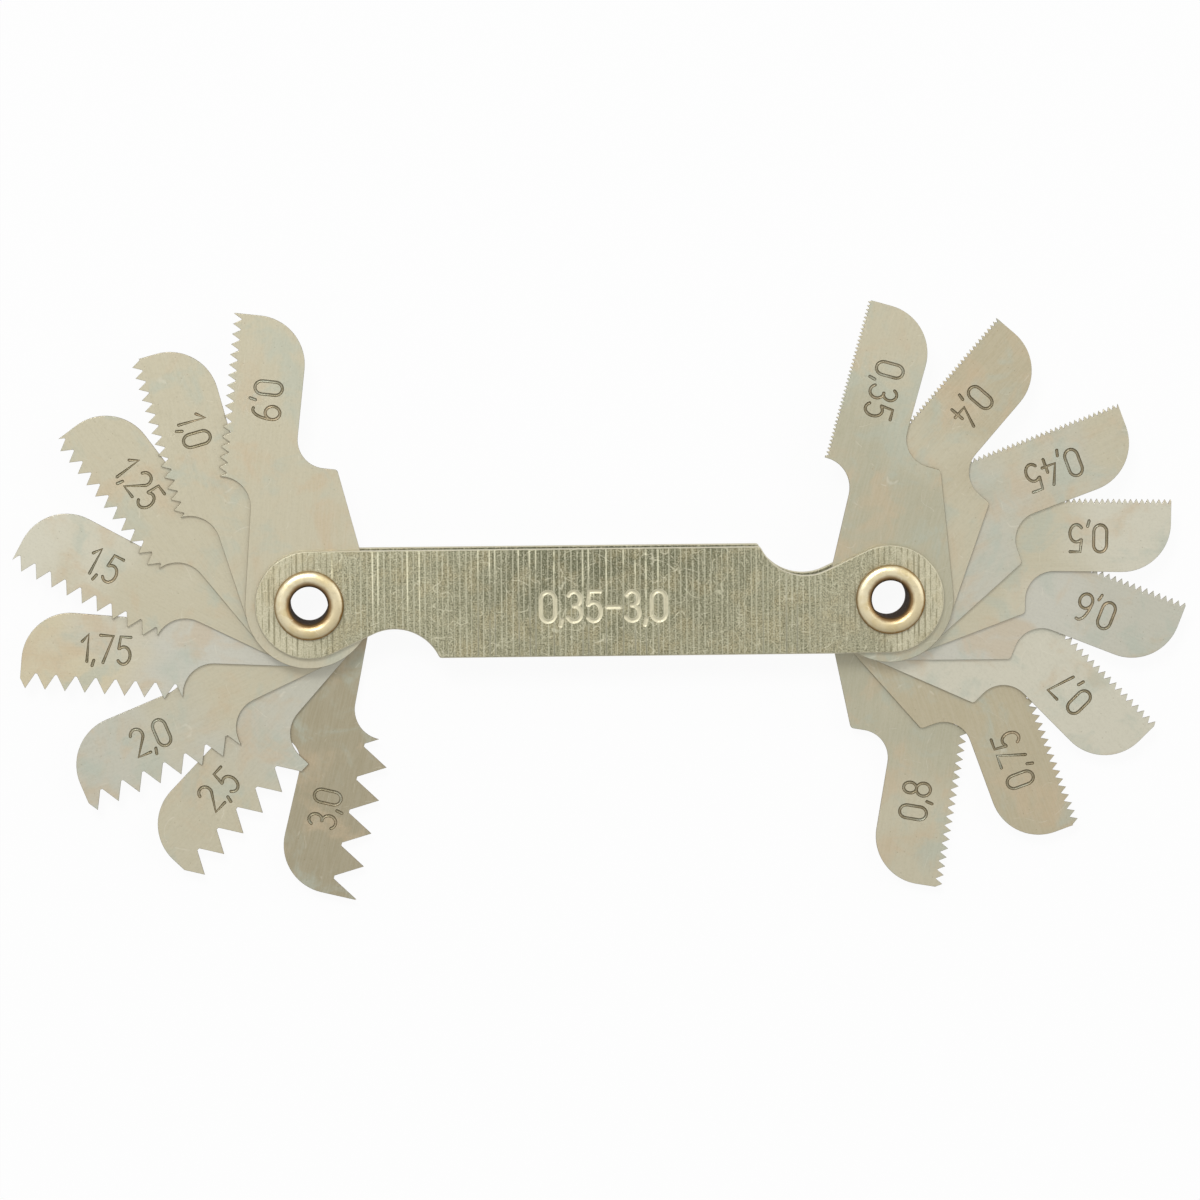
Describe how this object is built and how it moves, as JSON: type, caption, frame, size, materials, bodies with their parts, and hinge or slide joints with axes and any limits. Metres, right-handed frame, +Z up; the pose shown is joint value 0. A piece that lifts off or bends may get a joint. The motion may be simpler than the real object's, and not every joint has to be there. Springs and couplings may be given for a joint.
{
  "type": "thread pitch gauge",
  "caption": "Flat metric thread pitch gauge: toothed steel leaves turn on a hollow rivet at each end of a narrow two-plate holder.",
  "frame": {"origin": "on the left rivet's axis, at half the gauge's thickness", "axes": "+X from the left rivet to the right rivet, +Y to the side of the finger notch beside the right rivet, +Z up out of the front cover"},
  "size_m": [0.1033, 0.0526, 0.0062],
  "materials": {
    "cover_steel": "coarse brushed across, yellowed",
    "leaf_steel": "smooth satin, slightly yellowed",
    "rivet_brass": "satin, aged"
  },
  "bodies": {
    "holder": {"front_cover": "cover_steel", "rear_cover": "cover_steel", "eyelet_left": "rivet_brass", "eyelet_right": "rivet_brass"},
    "leaf_0_90": {"leaf_0_90": "leaf_steel"},
    "leaf_1_00": {"leaf_1_00": "leaf_steel"},
    "leaf_1_25": {"leaf_1_25": "leaf_steel"},
    "leaf_1_50": {"leaf_1_50": "leaf_steel"},
    "leaf_1_75": {"leaf_1_75": "leaf_steel"},
    "leaf_2_00": {"leaf_2_00": "leaf_steel"},
    "leaf_2_50": {"leaf_2_50": "leaf_steel"},
    "leaf_3_00": {"leaf_3_00": "leaf_steel"},
    "leaf_0_35": {"leaf_0_35": "leaf_steel"},
    "leaf_0_40": {"leaf_0_40": "leaf_steel"},
    "leaf_0_45": {"leaf_0_45": "leaf_steel"},
    "leaf_0_50": {"leaf_0_50": "leaf_steel"},
    "leaf_0_60": {"leaf_0_60": "leaf_steel"},
    "leaf_0_70": {"leaf_0_70": "leaf_steel"},
    "leaf_0_75": {"leaf_0_75": "leaf_steel"},
    "leaf_0_80": {"leaf_0_80": "leaf_steel"}
  },
  "joints": [
    {"name": "swing_0_90", "type": "hinge", "parent": "holder", "child": "leaf_0_90", "pos_m": [0, 0, 0], "axis": [0, 0, -1], "range_deg": [-255.3, 74.7]},
    {"name": "swing_1_00", "type": "hinge", "parent": "holder", "child": "leaf_1_00", "pos_m": [0, 0, 0], "axis": [0, 0, -1], "range_deg": [-233.4, 96.6]},
    {"name": "swing_1_25", "type": "hinge", "parent": "holder", "child": "leaf_1_25", "pos_m": [0, 0, 0], "axis": [0, 0, -1], "range_deg": [-212, 118]},
    {"name": "swing_1_50", "type": "hinge", "parent": "holder", "child": "leaf_1_50", "pos_m": [0, 0, 0], "axis": [0, 0, -1], "range_deg": [-186.9, 143.1]},
    {"name": "swing_1_75", "type": "hinge", "parent": "holder", "child": "leaf_1_75", "pos_m": [0, 0, 0], "axis": [0, 0, -1], "range_deg": [-163.2, 166.8]},
    {"name": "swing_2_00", "type": "hinge", "parent": "holder", "child": "leaf_2_00", "pos_m": [0, 0, 0], "axis": [0, 0, -1], "range_deg": [-135.4, 194.6]},
    {"name": "swing_2_50", "type": "hinge", "parent": "holder", "child": "leaf_2_50", "pos_m": [0, 0, 0], "axis": [0, 0, -1], "range_deg": [-111.1, 218.9]},
    {"name": "swing_3_00", "type": "hinge", "parent": "holder", "child": "leaf_3_00", "pos_m": [0, 0, 0], "axis": [0, 0, -1], "range_deg": [-80.4, 249.6]},
    {"name": "swing_0_35", "type": "hinge", "parent": "holder", "child": "leaf_0_35", "pos_m": [0.051, 0, 0], "axis": [0, 0, -1], "range_deg": [-85.3, 244.7]},
    {"name": "swing_0_40", "type": "hinge", "parent": "holder", "child": "leaf_0_40", "pos_m": [0.051, 0, 0], "axis": [0, 0, -1], "range_deg": [-110.3, 219.7]},
    {"name": "swing_0_45", "type": "hinge", "parent": "holder", "child": "leaf_0_45", "pos_m": [0.051, 0, 0], "axis": [0, 0, -1], "range_deg": [-139.1, 190.9]},
    {"name": "swing_0_50", "type": "hinge", "parent": "holder", "child": "leaf_0_50", "pos_m": [0.051, 0, 0], "axis": [0, 0, -1], "range_deg": [-160.5, 169.5]},
    {"name": "swing_0_60", "type": "hinge", "parent": "holder", "child": "leaf_0_60", "pos_m": [0.051, 0, 0], "axis": [0, 0, -1], "range_deg": [-180.9, 149.1]},
    {"name": "swing_0_70", "type": "hinge", "parent": "holder", "child": "leaf_0_70", "pos_m": [0.051, 0, 0], "axis": [0, 0, -1], "range_deg": [-204.8, 125.2]},
    {"name": "swing_0_75", "type": "hinge", "parent": "holder", "child": "leaf_0_75", "pos_m": [0.051, 0, 0], "axis": [0, 0, -1], "range_deg": [-229.3, 100.7]},
    {"name": "swing_0_80", "type": "hinge", "parent": "holder", "child": "leaf_0_80", "pos_m": [0.051, 0, 0], "axis": [0, 0, -1], "range_deg": [-258.8, 71.2]}
  ]
}
